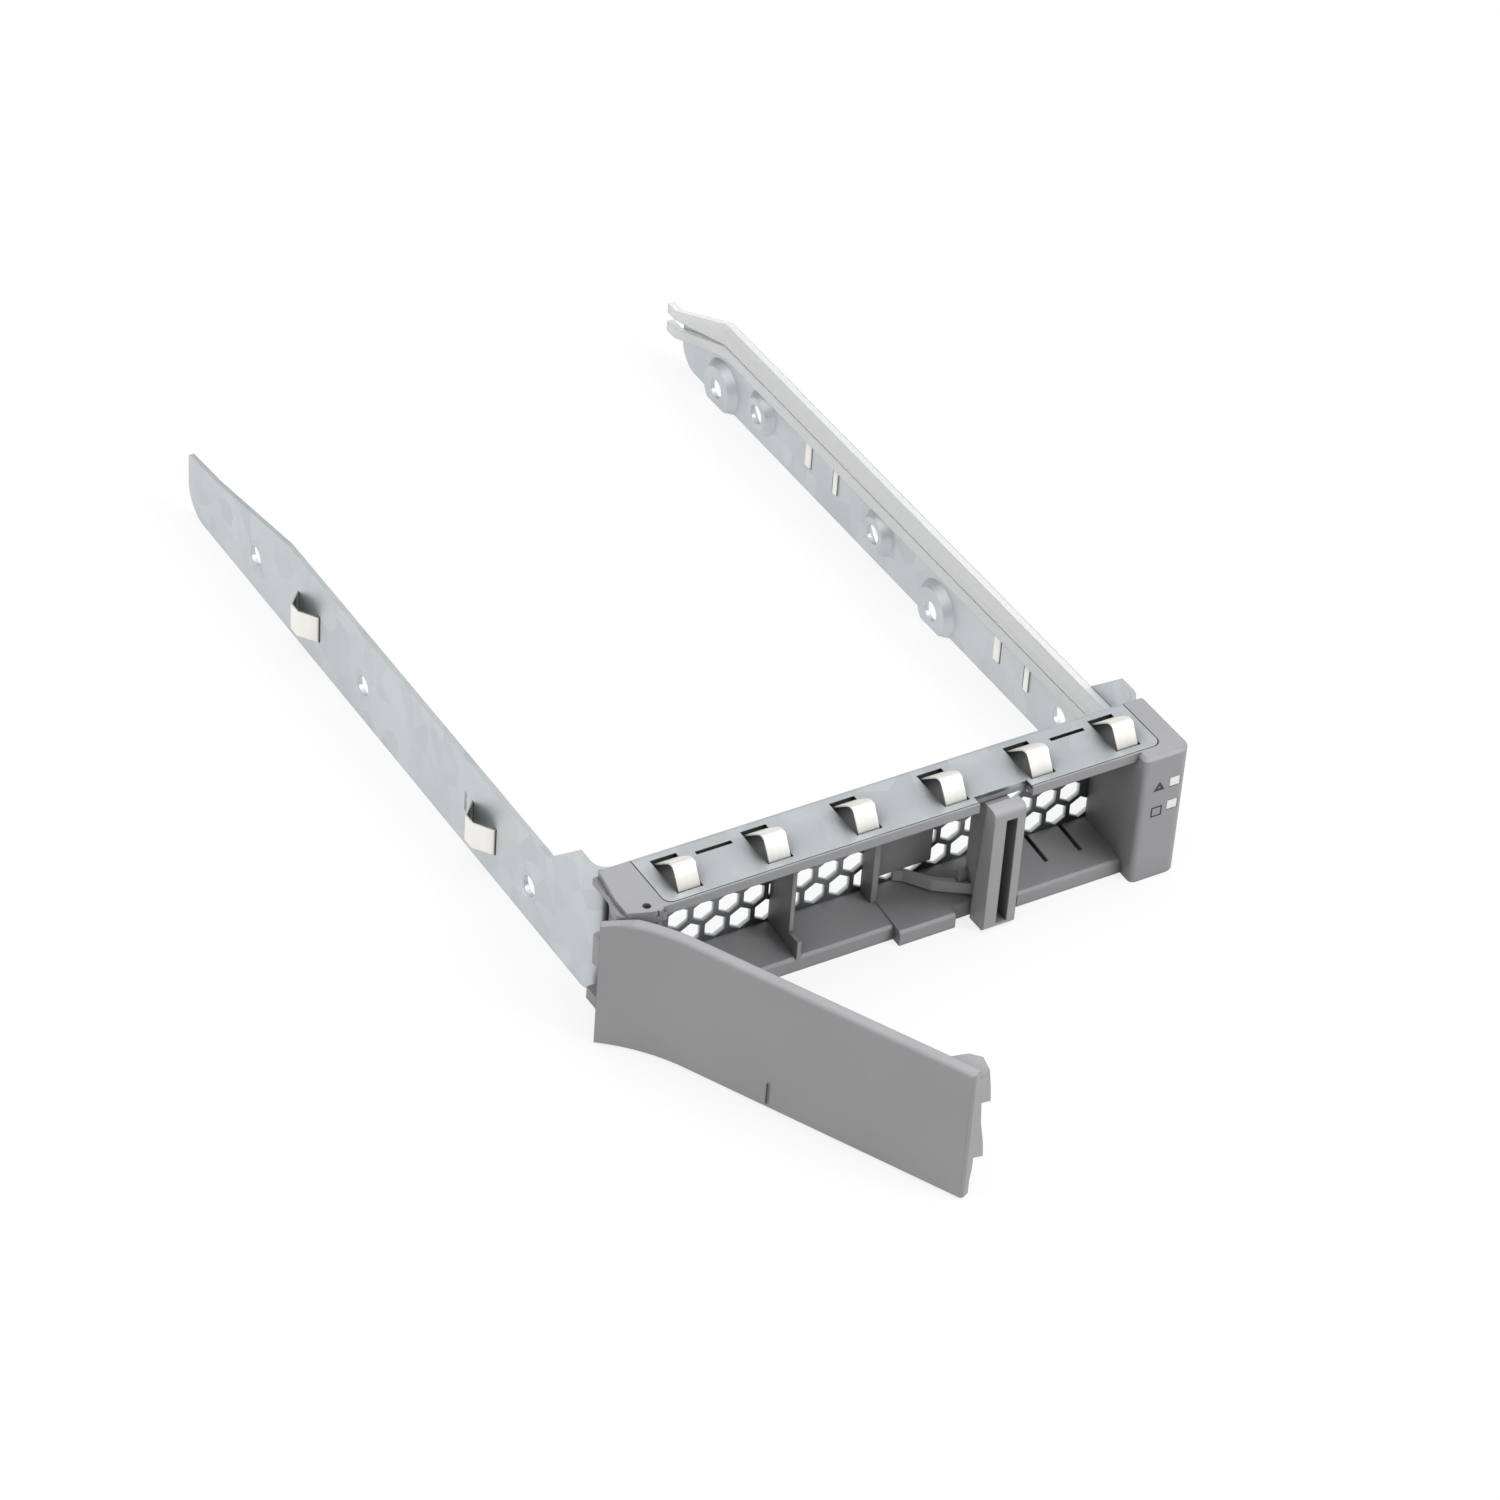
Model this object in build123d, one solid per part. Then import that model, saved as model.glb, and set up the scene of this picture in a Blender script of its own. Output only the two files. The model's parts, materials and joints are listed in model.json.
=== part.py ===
"""Hard drive caddy: a folded steel cage round the drive, with a moulded front bezel and ejector lever.

Millimetres. X runs to the right along the bezel, Y back along the drive, Z up. The pieces are modelled
from the left rail's outer face, the bezel's front plane and the underside, and moved at the end to the
origin: the bottom centre of the whole caddy's box, with the lever open as it rests.
"""
from build123d import *
import math
import os

# Driving sizes of the cage: a 3.5 inch drive, 101.6 wide, between two rails of one folded sheet
drive_width = 101.6
drive_slack = 0.1
sheet = 0.8
dimple_depth = 0.3
boss_depth = 1.5
rail_height = 18.0
rail_front_height = 25.6
left_rail_end = 165.1
right_rail_end = 168.1
fold_radius = 3.5

# Drive screw places, from the front wall's rear face and the underside
drive_front = 19.9
drive_length = 147.0
hole_front_offset = 28.5
hole_steps = (0.0, 41.6, 101.6)
hole_height = 6.75
hole_radius = 1.9
small_drive_steps = (-14.5, 62.1)
small_drive_height = 3.4
dimple_radius = 3.4
boss_radius = 4.5
low_boss_radius = 5.7

# Bezel
bezel_height = 26.3
bezel_depth = 14.8
bezel_left = -0.8
wall = 1.2
top_wall = 1.8
top_wall_gap = 2.4
lip = 0.4
block_width = 9.4
hinge_block = 7.6
hinge_pocket_back = 6.5
hinge_opening = 2.6
ear_height = 2.4
rib_x = 33.6
rib_thickness = 0.8
rib_front = 8.2
bay_left = 51.0
bay_right = 63.8
bay_front = 11.4
bay_low = 6.7
floor_thick = 2.9
floor_rise = 1.0
floor_front = 5.3
floor_step = 3.3
floor_step_x = 52.0

# Top flange of the cage
flange_left = 6.1
flange_overlap = 4.9
flange_bend = 1.2
flange_corner = 1.6
clear = 0.15
snap_slot_width = 6.7

# Lever, drawn closed and then turned open about its pin
pivot_x = 2.9
pivot_y = 3.8
open_angle = 62.8
lever_length = 66.0
lever_low = 0.4
lever_high = 26.0
lever_face = 0.3
lever_wall = 1.8
lever_sweep = 34.0
sweep_end = 14.0
pin_radius = 1.0
knuckle_radius = 2.2
running = 0.05

# Latch
latch_left = 66.3
latch_width = 6.1
latch_low = 0.2
latch_high = 25.3
latch_travel = 1.6
latch_depth = 4.2
slot_width = 2.1

# Sprung grounding fingers and clips
finger_count = 6
finger_first = 11.2
finger_pitch = 16.76
finger_width = 4.0
finger_front = 5.2
finger_rise = 3.3
spring_sheet = 0.25
clip_front_edges = (48.2, 113.0)
clip_span = 8.0
clip_bulge = 2.6
clip_low = 5.3
clip_height = 5.2

# Light guides
guide_low = 11.6
guide_split = 14.4
guide_top = 19.0
guide_end = 172.0

# Honeycomb
hex_pitch = 4.75
hex_flat = 3.9
hex_low_row = 6.4
hex_first = 13.55
hex_rows = 4

# Places that follow from the sizes above
rail_inner_left = sheet
drive_left = sheet + dimple_depth
boss_face = drive_left + drive_width + drive_slack
rail_inner_right = boss_face + boss_depth
cage_right = rail_inner_right + sheet
wall_back = bezel_depth + sheet
fold_inner = fold_radius - sheet
drive_back = drive_front + drive_length
hole_ys = [drive_back - hole_front_offset - step for step in hole_steps]
small_ys = [drive_back - hole_front_offset - step for step in small_drive_steps]
top_wall_high = bezel_height - sheet
top_wall_low = bezel_height - top_wall
block_left = cage_right - block_width
flange_right = block_left + flange_overlap
flange_front = top_wall_gap + lip + clear
finger_xs = [finger_first + finger_pitch * i for i in range(finger_count)]
slot_half = finger_width / 2 + 0.4
slot_front = finger_front - 0.9
slot_back = wall_back - 2.2
snap_slots = [(side, side + snap_slot_width) for side in (16.5, block_left - 11.4)]
notch_left = latch_left - 1.6
notch_right = latch_left + latch_width + latch_travel + 1.0
notch_back = latch_depth + 0.3


def block(x0, x1, y0, y1, z0, z1):
    """A box between two corners."""
    return Pos((x0 + x1) / 2, (y0 + y1) / 2, (z0 + z1) / 2) * Box(x1 - x0, y1 - y0, z1 - z0)


def side_prism(points, x0, x1):
    """An outline in Y and Z, carried from x0 to x1."""
    face = Plane.YZ.offset(x0) * Polygon(*points, align=None)
    return extrude(face, amount=x1 - x0, dir=(1, 0, 0))


def plan_prism(points, z0, z1):
    """An outline in X and Y, carried from z0 to z1."""
    face = Plane.XY.offset(z0) * Polygon(*points, align=None)
    return extrude(face, amount=z1 - z0, dir=(0, 0, 1))


def front_prism(points, y0, y1):
    """An outline in X and Z, carried from y0 to y1."""
    face = Plane.XZ.offset(-y0) * Polygon(*points, align=None)
    return extrude(face, amount=y1 - y0, dir=(0, 1, 0))


def rod_x(radius, y, z, x0, x1):
    """A round rod along X."""
    return Pos((x0 + x1) / 2, y, z) * Rot(0, 90, 0) * Cylinder(radius, x1 - x0)


def rod_y(radius, x, z, y0, y1):
    """A round rod along Y."""
    return Pos(x, (y0 + y1) / 2, z) * Rot(90, 0, 0) * Cylinder(radius, y1 - y0)


def rod_z(radius, x, y, z0, z1):
    """A round rod along Z."""
    return Pos(x, y, (z0 + z1) / 2) * Cylinder(radius, z1 - z0)


def pressed_ring(outer, face, bore, depth, inner_x, inward, y, z):
    """The pressed sheet round a screw hole: a shallow cup with the screw hole in its floor."""
    back = -sheet * inward
    step = depth * inward
    flank = 0.3
    profile = Polyline(
        (0, outer), (step, face), (step, bore), (step + back, bore), (step + back, face - flank),
        (back, outer - flank), (back, outer), close=True)
    ring = revolve(Plane.XZ * make_face(profile), axis=Axis.X, revolution_arc=360)
    return Pos(inner_x, y, z) * ring


def hexagon_hole(x, z):
    """One honeycomb hole through the front wall, with two flats upright."""
    radius = hex_flat / math.sqrt(3)
    face = Plane.XZ * Pos(x, z) * Rot(0, 0, 30) * RegularPolygon(radius, 6)
    return Pos(0, wall_back + 1, 0) * extrude(face, amount=2 * sheet + 2, dir=(0, -1, 0))


def make_cage():
    """The folded sheet: two rails, the honeycomb wall and the top flange."""
    reach = right_rail_end + 10
    outer = Pos(cage_right / 2, (bezel_depth + reach) / 2) * Rectangle(cage_right, reach - bezel_depth)
    outer = fillet(outer.vertices().sort_by(Axis.Y)[:2], fold_radius)
    inner_width = rail_inner_right - rail_inner_left
    inner = Pos(cage_right / 2, (wall_back + reach + 2) / 2) * Rectangle(inner_width, reach + 2 - wall_back)
    inner = fillet(inner.vertices().sort_by(Axis.Y)[:2], fold_inner)
    channel = extrude(outer - inner, amount=bezel_height)

    ramp_foot = 30.0
    ramp_top = 21.5
    start = bezel_depth - 1
    left_outline = [
        (start, 0), (left_rail_end, 0), (left_rail_end, 12.0), (153.0, 13.2), (125.1, rail_height),
        (ramp_foot, rail_height), (ramp_top, rail_front_height), (start, rail_front_height)]
    right_outline = [
        (start, 0), (right_rail_end, 0), (right_rail_end, 9.5), (150.0, rail_height),
        (ramp_foot, rail_height), (ramp_top, rail_front_height), (start, rail_front_height)]
    middle = cage_right / 2
    left_side = side_prism(left_outline, -1, middle)
    left_side = fillet(left_side.edges().filter_by(Axis.X).group_by(Axis.Y)[-1].sort_by(Axis.Z)[0:1], 6.0)
    left_side = fillet(left_side.edges().filter_by(Axis.X).group_by(Axis.Y)[-1].sort_by(Axis.Z)[-1:], 1.0)
    right_side = side_prism(right_outline, middle, cage_right + 1)
    right_side = fillet(right_side.edges().filter_by(Axis.X).group_by(Axis.Y)[-1].sort_by(Axis.Z)[0:1], 5.0)
    right_side = fillet(right_side.edges().filter_by(Axis.X).group_by(Axis.Y)[-1].sort_by(Axis.Z)[-1:], 1.5)
    cage = channel & (left_side + right_side)

    bend_outer = side_prism(
        [(flange_front, 20), (wall_back, 20), (wall_back, bezel_height), (flange_front, bezel_height)],
        flange_left, flange_right)
    bend_outer = fillet(
        bend_outer.edges().filter_by(Axis.X).group_by(Axis.Y)[-1].sort_by(Axis.Z)[-1:], flange_bend)
    bend_inner = side_prism(
        [(0, 0), (bezel_depth, 0), (bezel_depth, top_wall_high), (0, top_wall_high)],
        flange_left - 1, flange_right + 1)
    bend_inner = fillet(
        bend_inner.edges().filter_by(Axis.X).group_by(Axis.Y)[-1].sort_by(Axis.Z)[-1:], flange_bend - sheet)
    flange = bend_outer - bend_inner
    flange = fillet(flange.edges().filter_by(Axis.Z).group_by(Axis.Y)[0], flange_corner)
    cage = cage + flange

    for x in finger_xs:
        cage -= block(x - slot_half, x + slot_half, slot_front, slot_back, top_wall_high - 1, bezel_height + 1)
    for x0, x1 in snap_slots:
        cage -= block(x0, x1, 11.5, 12.3, top_wall_high - 1, bezel_height + 1)
    cage -= block(notch_left, notch_right, 0, notch_back, top_wall_high - 1, bezel_height + 1)

    holes = []
    for row in range(hex_rows):
        z = hex_low_row + row * hex_pitch * math.sqrt(3) / 2
        shift = hex_pitch / 2 if row % 2 else 0.0
        x = hex_first + shift
        while x < block_left - 1.0:
            holes.append(hexagon_hole(x, z))
            x += hex_pitch
    cage -= holes

    for y in hole_ys:
        cage -= rod_x(dimple_radius, y, hole_height, -1, rail_inner_left + 1)
        cage += pressed_ring(
            dimple_radius, dimple_radius - 0.6, hole_radius, dimple_depth, rail_inner_left, 1, y, hole_height)
    for y, z, radius in [(y, hole_height, boss_radius) for y in hole_ys[:2]] + [
            (y, small_drive_height, low_boss_radius) for y in small_ys]:
        cage -= rod_x(radius, y, z, rail_inner_right - 1, cage_right + 1)
        cage += pressed_ring(radius, radius - 1.2, hole_radius, boss_depth, rail_inner_right, -1, y, z)
    cage -= block(-5, cage_right + 5, 0, reach, -20, 0)
    cage -= rod_x(hole_radius, hole_ys[2], hole_height, rail_inner_right - 1, cage_right + 1)

    for front in clip_front_edges:
        for y in (front, front + clip_span):
            slit = (y - 0.4, y + 0.4, clip_low - 0.2, clip_low + clip_height + 0.2)
            cage -= block(-1, rail_inner_left + 1, *slit)
            cage -= block(rail_inner_right - 1, cage_right + 1, *slit)
    cage -= block(-1, rail_inner_left + 1, 58.3, 59.1, 6.9, 10.8)

    cage -= block(cage_right - 5.5, rail_inner_right + 0.1, bezel_depth - 1, wall_back + 4,
                  guide_low - 0.4, guide_top + 2.6)
    for x, z in screw_places():
        cage -= rod_y(1.4, x, z, bezel_depth - 1, wall_back + 1)
    return cage


def screw_places():
    """Where the two small screws hold the bezel to the steel wall."""
    return ((hinge_block - 1.9, 13.0), (block_left + 3.8, 5.6))


def make_bezel():
    """The moulded front frame."""
    body = block(bezel_left, block_left + 1, 0, bezel_depth, 0, bezel_height)
    body -= block(hinge_block - 3, block_left + 2, -1, top_wall_gap, -1, bezel_height + 1)
    # Indicator block at the right, rounded in front
    corner = block(block_left, cage_right, 0, bezel_depth, 0, bezel_height)
    front_edges = corner.edges().filter_by(Axis.Z).group_by(Axis.Y)[0].sort_by(Axis.X)
    corner = fillet(front_edges[:1], 1.0)
    front_edges = corner.edges().filter_by(Axis.Z).group_by(Axis.Y)[0:2]
    corner = fillet(corner.edges().filter_by(Axis.Z).sort_by(Axis.X)[-2:].sort_by(Axis.Y)[:1], 2.4)
    corner = chamfer(corner.edges().group_by(Axis.Z)[-1].filter_by(lambda e: e.center().Y < 4.0), 0.6)
    body += corner
    # Cavity behind the lever and the latch, open to the front and the back
    body -= block(hinge_block, block_left, -1, bezel_depth + 1, -1, top_wall_low)
    # Recess in the top for the steel flange, behind a low lip, and the pockets under the fingers
    recess = plan_prism(
        [(flange_left - clear, flange_front - clear), (flange_right + clear, flange_front - clear),
         (flange_right + clear, bezel_depth + 1), (flange_left - clear, bezel_depth + 1)],
        top_wall_high, bezel_height + 1)
    recess = fillet(recess.edges().filter_by(Axis.Z).group_by(Axis.Y)[0], flange_corner)
    body -= recess
    seam = 0.7
    body -= side_prism(
        [(bezel_depth - seam, top_wall_high), (bezel_depth, top_wall_high - seam), (bezel_depth + 1, top_wall_high)],
        flange_left - clear, flange_right + clear)
    for x in finger_xs:
        body -= block(x - slot_half - 0.3, x + slot_half + 0.3, slot_front - 0.8, bezel_depth - 0.4,
                      top_wall_high - 0.7, bezel_height)
    for x0, x1 in snap_slots:
        body -= block(x0, x1, 11.5, 12.3, top_wall_low - 1, bezel_height)
    body -= block(notch_left, notch_right, 0, notch_back, top_wall_low - 1, bezel_height + 1)
    # Hinge: a pocket for the knuckles and the spring, open at the side, between two ears
    body -= block(bezel_left - 1, hinge_block - 2.4, -1, hinge_pocket_back, ear_height, bezel_height - ear_height)
    body -= block(hinge_block - 2.5, hinge_block + 1, -1, hinge_pocket_back, wall, top_wall_low)
    body -= block(bezel_left - 1, hinge_opening, hinge_pocket_back - 1, bezel_depth + 1, ear_height,
                  bezel_height - ear_height)
    ear_front = [(bezel_left - 2, -1), (hinge_block + 1, -1), (hinge_block + 1, 1.5), (5.2, 1.5), (1.5, 2.6),
                 (bezel_left - 0.2, 3.5), (bezel_left - 2, 5.0)]
    brow = plan_prism(
        [(0.2, bezel_depth), (-0.4, 10.5), (-1.7, 7.2), (-2.0, 5.4), (-2.0, 4.7), (bezel_left, 2.0),
         (hinge_block - 2, 2.0), (hinge_block - 2, bezel_depth)], bezel_height - ear_height, top_wall_high)
    body -= block(bezel_left - 1, flange_left - 2, -1, bezel_depth + 1, top_wall_high - 0.3, bezel_height + 1)
    body += brow + plan_prism(
        [(0.2, bezel_depth), (-0.4, 10.5), (-0.9, 7.2), (-0.9, 4.7), (bezel_left, 2.0),
         (flange_left - 1, 2.0), (flange_left - 1, bezel_depth)], top_wall_high - 0.1, bezel_height)
    body -= plan_prism(ear_front, -1, bezel_height + 1)
    body -= rod_z(pin_radius + 0.02, pivot_x, pivot_y, -1, bezel_height - 0.8)
    body -= rod_z(pin_radius * 0.7, pivot_x, pivot_y, 0, bezel_height + 1)
    # Floor: it rises to the back, is set back in front with a step, and has a snap tongue between two slots
    for x0, x1, front in ((hinge_block - 0.5, floor_step_x, floor_front), (floor_step_x, block_left + 0.5, floor_step)):
        body += side_prism(
            [(front, 0), (bezel_depth, 0), (bezel_depth, floor_thick + floor_rise), (front + 0.5, floor_thick),
             (front, floor_thick - 0.5)], x0, x1)
    body -= block(latch_left - 3.4, notch_right, -1, latch_depth + 0.9, -1, floor_thick + 1)
    for x in (block_left - 12.4, block_left - 5.6):
        body -= block(x, x + 0.8, 8.0, bezel_depth + 1, -1, floor_thick + floor_rise + 1)
    # Rib with a foot, and the closed bay behind the latch arm
    side = rib_thickness / 2
    body += block(rib_x - side, rib_x + side, rib_front, bezel_depth, floor_thick, top_wall_low + 0.1)
    body += block(rib_x - side, rib_x + side, floor_front, rib_front + 1, floor_thick - 0.5, floor_thick + 3.3)
    body += block(bay_left, bay_left + wall, bay_front, bezel_depth, floor_thick, top_wall_low + 0.1)
    body += block(bay_left, bay_right, bezel_depth - wall, bezel_depth, bay_low, top_wall_low + 0.1)
    # Hollow of the indicator block, with two windows for the light guides
    body -= block(block_left + 1.6, cage_right - 1.5, 2.0, bezel_depth + 1, guide_low - 0.6, bezel_height - 1.8)
    for z in window_heights():
        body -= block(window_x() - 1.1, window_x() + 1.1, -1, 3, z - 1.0, z + 1.0)
    for x, z in screw_places():
        body -= rod_y(1.0, x, z, bezel_depth - 5.5, bezel_depth + 1)
    return body


def window_heights():
    """Middle heights of the two indicator windows."""
    return (15.0, 19.9)


def window_x():
    """Middle of the indicator windows across the bezel."""
    return cage_right - 2.9


def arc_y(x, offset):
    """The lever's outer face in plan: straight, then sweeping forward towards the hinge."""
    radius = lever_sweep + offset
    centre = lever_face - lever_sweep
    if x >= sweep_end:
        return lever_face + offset
    return centre + math.sqrt(radius ** 2 - (sweep_end - x) ** 2)


def make_lever():
    """The ejector lever, drawn closed and turned open."""
    hinge_tip = -1.2
    outer_start = (hinge_tip, arc_y(hinge_tip, 0))
    outer_mid = ((hinge_tip + sweep_end) / 2, arc_y((hinge_tip + sweep_end) / 2, 0))
    inner_tip = hinge_tip - 0.8
    inner_start = (inner_tip, arc_y(inner_tip, lever_wall))
    inner_mid = ((inner_tip + sweep_end) / 2, arc_y((inner_tip + sweep_end) / 2, lever_wall))
    back = lever_face + lever_wall
    outline = [
        ThreePointArc(outer_start, outer_mid, (sweep_end, lever_face)),
        Line((sweep_end, lever_face), (lever_length, lever_face)),
        Line((lever_length, lever_face), (lever_length, back)),
        Line((lever_length, back), (sweep_end, back)),
        ThreePointArc((sweep_end, back), inner_mid, inner_start),
        Line(inner_start, outer_start)]
    plate = extrude(Plane.XY.offset(lever_low) * make_face(outline), amount=lever_high - lever_low, dir=(0, 0, 1))
    plate = chamfer(plate.edges().group_by(Axis.X)[-1].sort_by(Axis.Y)[0:1], 0.4)
    top_front = plate.edges().group_by(Axis.Z)[-1].filter_by(lambda e: e.center().Y < lever_face + 0.1)
    plate = fillet(top_front.filter_by(lambda e: e.length > 5), 0.8)
    # The top corner at the hinge drops below the ear
    plate -= front_prism([(-6, lever_high + 1), (3.5, lever_high + 1), (3.5, lever_high), (-2.5, lever_high - 1.8),
                          (-6, lever_high - 3)], -6, 3)

    # Knuckles and their webs
    lever = plate
    for z0, z1 in ((ear_height + 0.3, 7.0), (19.8, bezel_height - ear_height - 0.3)):
        lever += rod_z(knuckle_radius, pivot_x, pivot_y, z0, z1)
        web = [(pivot_x - 1.9, pivot_y), (pivot_x + 1.9, pivot_y), (pivot_x + 2.4, arc_y(pivot_x + 2.4, 1.0)),
               (pivot_x - 2.6, arc_y(pivot_x - 2.6, 1.0))]
        lever += plan_prism(web, z0, z1)
    lever -= rod_z(pin_radius + running, pivot_x, pivot_y, 0, bezel_height)

    # Cam tooth that pushes against the chassis
    tooth = [(-0.9, -2.6), (-3.4, -1.6), (-3.2, -0.7), (0.2, -0.7)]
    lever += plan_prism(tooth, 15.0, 21.0)

    # Stiffening ribs behind the face, clear of the bezel's own rib
    rib_back = 4.4
    web_start = lever_length - 9.5
    for z0 in (6.2, 12.9, 19.6):
        lever += block(sweep_end + 2, web_start, back - 0.1, rib_back, z0, z0 + 1.2)

    # Hooked end: a side wall with two saw-tooth hooks under a curved web
    end_wall = 1.6
    web_high = top_wall_low - 0.4
    hooks = [(back - 0.1, 2.6), (2.6, 5.2), (2.6, 7.4), (5.9, 5.4), (5.3, 8.9), (3.9, 13.8), (3.3, 18.4),
             (6.4, 16.6), (5.9, 19.8), (4.9, web_high), (back - 0.1, web_high)]
    lever += side_prism(hooks, lever_length - end_wall, lever_length)
    web = [(web_start, back - 0.1), (lever_length, back - 0.1), (lever_length, 4.9), (lever_length - 2.4, 6.9),
           (lever_length - 4.6, 6.3), (web_start + 2.4, 3.4)]
    lever += plan_prism(web, web_high - 1.2, web_high)

    turn = Pos(pivot_x, pivot_y, 0) * Rot(0, 0, -open_angle) * Pos(-pivot_x, -pivot_y, 0)
    return turn * lever


def make_pin():
    """The steel pin through the ears and the knuckles."""
    return rod_z(pin_radius, pivot_x, pivot_y, 0.3, bezel_height - 0.8)


def make_spring():
    """The torsion spring round the pin: close turns, ridged outside, and two legs."""
    wire = 0.5
    inner = pin_radius + 0.25
    turns = 9
    low = 8.6
    high = low + wire * turns
    groove = inner + wire * 0.6
    profile = [(inner, low), (groove, low)]
    for turn in range(turns):
        profile.append((inner + wire, low + wire * (turn + 0.5)))
        profile.append((groove, low + wire * (turn + 1)))
    profile.append((inner, high))
    coil = Pos(pivot_x, pivot_y, 0) * revolve(Plane.XZ * Polygon(*profile, align=None), axis=Axis.Z)
    reach = inner + wire / 2
    leg_back = rod_y(wire * 0.46, pivot_x + reach, low + wire / 2, pivot_y - 0.3, hinge_pocket_back)
    top_leg = rod_y(wire * 0.46, 0, high - wire / 2, -3.2, 0.3)
    top_leg = Pos(pivot_x, pivot_y, 0) * Rot(0, 0, -open_angle) * Pos(-reach, 0, 0) * top_leg
    return coil + leg_back + top_leg


def make_latch():
    """The slide button, its stem, its catch and its spring arm."""
    right = latch_left + latch_width
    side = [(0, latch_high), (2.7, latch_high), (latch_depth, latch_low + 2.5), (latch_depth, latch_low), (0, latch_low)]
    latch = side_prism(side, latch_left, right)
    front = latch.edges().filter_by(Axis.X).group_by(Axis.Y)[0].sort_by(Axis.Z)
    latch = fillet(front[-1:], 1.2)
    latch = chamfer(latch.edges().filter_by(Axis.X).group_by(Axis.Y)[0].sort_by(Axis.Z)[:1], 0.5)
    stem_low = floor_thick + floor_rise + 0.1
    stem_high = top_wall_low - 0.3
    stem_back = latch_depth + 3.8
    latch += block(latch_left + 0.8, right - 0.8, 2.1, stem_back, stem_low, stem_high)
    latch -= block(latch_left + 2.0, right - 2.0, latch_depth - 0.6, stem_back + 1, stem_low + 1.4, stem_high - 1.4)
    latch += block(latch_left - 0.9, latch_left + 2.0, stem_back - 1.1, stem_back + 0.2, 4.5, 8.0)
    grip = latch_left + 2.4
    latch -= block(grip, grip + slot_width, -1, latch_depth, latch_low + 1.0, latch_high - 2.2)
    # Bowed arm that bears on the steel wall inside the bay
    tip_y = bezel_depth - 0.3
    arm = [(latch_left + 1.0, stem_back - 2.6), (61.6, 9.2), (58.4, tip_y - 1.0), (56.8, tip_y), (58.4, tip_y),
           (62.3, 10.0), (latch_left + 1.0, stem_back - 1.4)]
    latch += plan_prism(arm, stem_low, stem_low + 2.2)
    return latch


def make_guide(low, high, prong_low, window, nose_low):
    """One clear light guide: a bar along the rail, a link through the wall and a square pipe to its window."""
    near = boss_face + 0.1
    far = rail_inner_right - 0.05
    start = bezel_depth + 0.4
    slope = 151.0
    prong = 2.0
    bar = [(start, nose_low), (start + 3, nose_low), (start + 5, low), (slope, low), (guide_end - 3, prong_low),
           (guide_end, prong_low), (guide_end, prong_low + prong), (guide_end - 3, prong_low + prong),
           (slope, high), (start, high)]
    guide = side_prism(bar, near, far)
    half = 0.9
    pipe = block(window_x() - 1.0, window_x() + 1.0, 0.05, 16.0, window - half, window + half)
    link = block(window_x() - 1.0, near + 0.5, 12.0, start + 2.8, min(nose_low, window - half), max(high, window + half))
    return guide + pipe + link


def make_finger():
    """One sprung finger, at x = 0: a hump that rises from its slot, from hooked foot to hooked foot."""
    low = top_wall_high - spring_sheet
    crest = bezel_height + finger_rise
    path = FilletPolyline(
        (slot_front - 0.6, low), (finger_front, low), (finger_front + 1.0, crest), (finger_front + 2.6, crest),
        (slot_back - 0.6, low + 0.1), (slot_back + 0.6, low + 0.1), radius=0.5)
    face = trace(path, spring_sheet)
    strip = extrude(Plane.YZ * face, amount=finger_width / 2, both=True)
    return strip


def make_clip():
    """One rail clip, for a rail whose outer face is x = 0 and inner face is x = sheet."""
    inside = sheet + spring_sheet / 2 + 0.02
    path = FilletPolyline(
        (inside, -1.6), (inside, 0.0), (-0.3, 0.0), (-clip_bulge, clip_span * 0.4),
        (-clip_bulge, clip_span * 0.7), (-0.3, clip_span), (inside, clip_span), (inside, clip_span + 1.6),
        radius=0.3)
    return extrude(Plane.XY.offset(clip_low) * trace(path, spring_sheet), amount=clip_height)


def make_screw(x, z):
    """A pan-head screw with a cross recess, driven from the drive bay."""
    head = rod_y(2.0, x, z, wall_back, wall_back + 1.3)
    head = chamfer(head.edges().group_by(Axis.Y)[-1], 0.4)
    shank = rod_y(0.98, x, z, bezel_depth - 5.0, wall_back + 0.1)
    cross = block(x - 1.1, x + 1.1, wall_back + 0.7, wall_back + 2, z - 0.2, z + 0.2)
    cross += block(x - 0.2, x + 0.2, wall_back + 0.7, wall_back + 2, z - 1.1, z + 1.1)
    return head + shank - cross


pieces = {
    "drive_cage": make_cage(),
    "bezel": make_bezel(),
    "lever": make_lever(),
    "hinge_pin": make_pin(),
    "lever_spring": make_spring(),
    "latch": make_latch(),
    "light_guide_upper": make_guide(guide_split, guide_top, 9.0, window_heights()[1], 16.6),
    "light_guide_lower": make_guide(guide_low, guide_split - 0.3, 5.0, window_heights()[0], guide_low),
}
for number, x in enumerate(finger_xs, start=1):
    pieces[f"emi_finger_{number}"] = Pos(x, 0, 0) * make_finger()
for place, front in zip(("front", "rear"), clip_front_edges):
    clip = make_clip()
    pieces[f"left_{place}_clip"] = Pos(0, front, 0) * clip
    pieces[f"right_{place}_clip"] = Pos(cage_right, front, 0) * mirror(clip, about=Plane.YZ)
for side, (x, z) in zip(("left", "right"), screw_places()):
    pieces[f"bezel_screw_{side}"] = make_screw(x, z)

box = Compound(children=[Compound(piece.wrapped) for piece in pieces.values()]).bounding_box()
origin = Vector((box.min.X + box.max.X) / 2, (box.min.Y + box.max.Y) / 2, box.min.Z)
print("origin", round(origin.X, 4), round(origin.Y, 4), round(origin.Z, 4))

os.makedirs("parts", exist_ok=True)
for name, piece in pieces.items():
    export_step(piece.moved(Location(-origin)), f"parts/{name}.step")
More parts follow.
